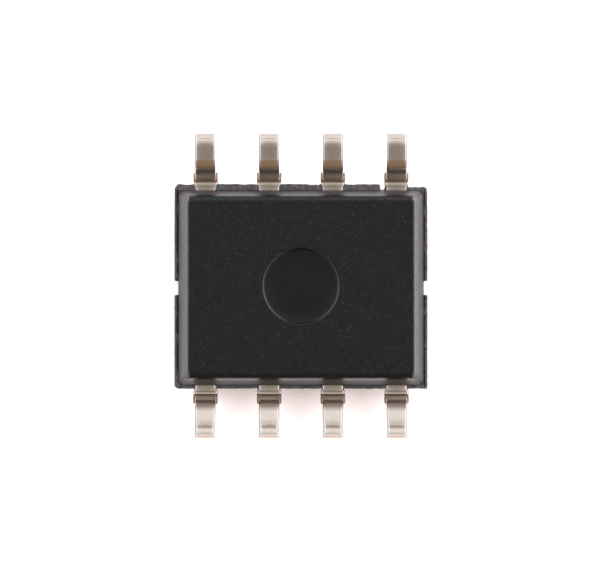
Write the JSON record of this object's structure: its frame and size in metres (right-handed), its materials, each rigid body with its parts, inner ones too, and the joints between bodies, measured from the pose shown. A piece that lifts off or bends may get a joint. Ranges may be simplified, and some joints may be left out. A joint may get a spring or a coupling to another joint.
{
  "type": "memory chip in a small-outline package",
  "caption": "Small-outline memory chip lying on its marked face: matt black moulded body with a round ejector mark in its underside, and two rows of tin-plated gull-wing leads.",
  "frame": {"origin": "centre of the flat marked face, which the chip lies on, below the centre of the body", "axes": "+Z out of the underside, the way the feet point, +X along the moulded body, and +Y towards the row of leads 1 to 4. Turn the part over, half a turn about X, to set its feet on a board."},
  "size_m": [0.005, 0.006, 0.0016],
  "materials": {
    "epoxy_body": "matte",
    "tin_plated_lead": "satin",
    "copper_paddle": "satin",
    "silver_epoxy": "satin",
    "silicon": "polished",
    "gold_wire": "polished"
  },
  "bodies": {
    "root": {"moulded_body": "epoxy_body", "die_paddle": "copper_paddle", "die_attach": "silver_epoxy", "silicon_die": "silicon", "lead_1": "tin_plated_lead", "lead_2": "tin_plated_lead", "lead_3": "tin_plated_lead", "lead_4": "tin_plated_lead", "lead_5": "tin_plated_lead", "lead_6": "tin_plated_lead", "lead_7": "tin_plated_lead", "lead_8": "tin_plated_lead", "bond_wire_1": "gold_wire", "bond_wire_2": "gold_wire", "bond_wire_3": "gold_wire", "bond_wire_4": "gold_wire", "bond_wire_5": "gold_wire", "bond_wire_6": "gold_wire", "bond_wire_7": "gold_wire", "bond_wire_8": "gold_wire"}
  },
  "joints": []
}
